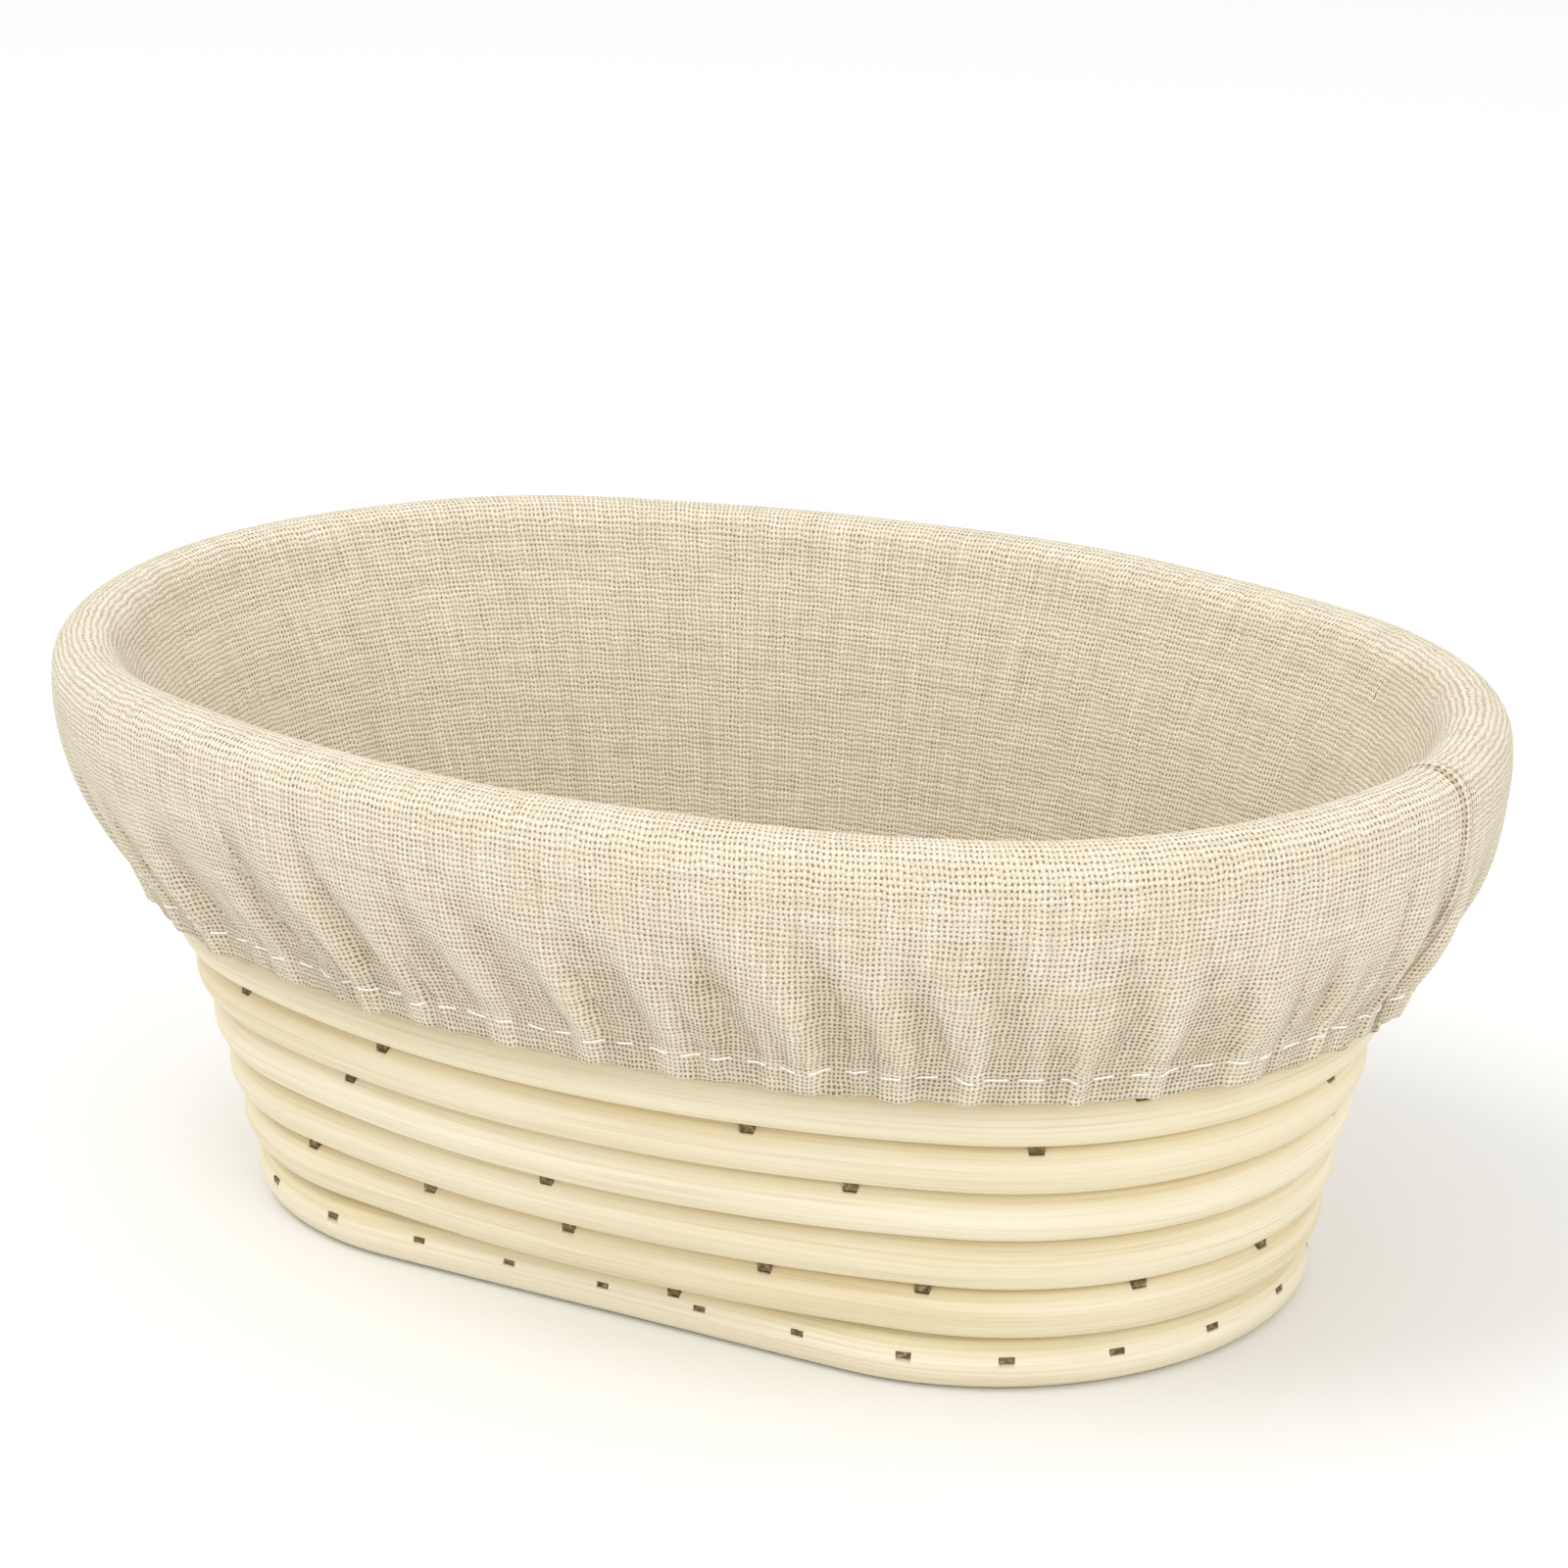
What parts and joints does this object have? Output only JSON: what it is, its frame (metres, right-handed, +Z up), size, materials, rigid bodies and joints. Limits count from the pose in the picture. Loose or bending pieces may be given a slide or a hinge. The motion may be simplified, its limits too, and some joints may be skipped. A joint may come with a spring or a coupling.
{
  "type": "oval proofing basket",
  "caption": "Oval coiled-cane bread proofing basket with flared walls and a removable linen liner held by an elastic hem.",
  "frame": {"origin": "middle of the footprint, on the surface that the basket stands on", "axes": "+X along the basket, +Y across it, +Z up"},
  "size_m": [0.2088, 0.139, 0.0814],
  "materials": {
    "cane": "peeled natural cane, dry satin",
    "brad_steel": "dull galvanised wire",
    "linen": "coarse plain weave, unbleached",
    "elastic": "braided white elastic",
    "thread": "spun cotton thread"
  },
  "bodies": {
    "basket": {"base_centre_cane": "cane", "base_turn_1": "cane", "base_turn_2": "cane", "base_turn_3": "cane", "base_turn_4": "cane", "bottom_turn": "cane", "rim_turn": "cane", "wall_turn_02": "cane", "wall_turn_03": "cane", "wall_turn_04": "cane", "wall_turn_05": "cane", "wall_turn_06": "cane", "wall_turn_07": "cane", "wall_turn_08": "cane", "wall_turn_09": "cane", "wall_turn_10": "cane", "brads_base_turn_1": "brad_steel", "brads_base_turn_2": "brad_steel", "brads_base_turn_3": "brad_steel", "brads_base_turn_4": "brad_steel", "brads_bottom_turn": "brad_steel", "brads_rim_turn": "brad_steel", "brads_wall_turn_02": "brad_steel", "brads_wall_turn_03": "brad_steel", "brads_wall_turn_04": "brad_steel", "brads_wall_turn_05": "brad_steel", "brads_wall_turn_06": "brad_steel", "brads_wall_turn_07": "brad_steel", "brads_wall_turn_08": "brad_steel", "brads_wall_turn_09": "brad_steel", "brads_wall_turn_10": "brad_steel"},
    "liner": {"liner_base_panel": "linen", "liner_base_stitches": "thread", "liner_hem_elastic": "elastic", "liner_hem_stitches": "thread", "liner_side_band": "linen"}
  },
  "joints": [
    {"name": "liner_lift", "type": "slide", "parent": "basket", "child": "liner", "axis": [0, 0, 1], "range_m": [0, 0.11], "deforming": ["liner_side_band", "liner_hem_elastic", "liner_hem_stitches"]}
  ]
}
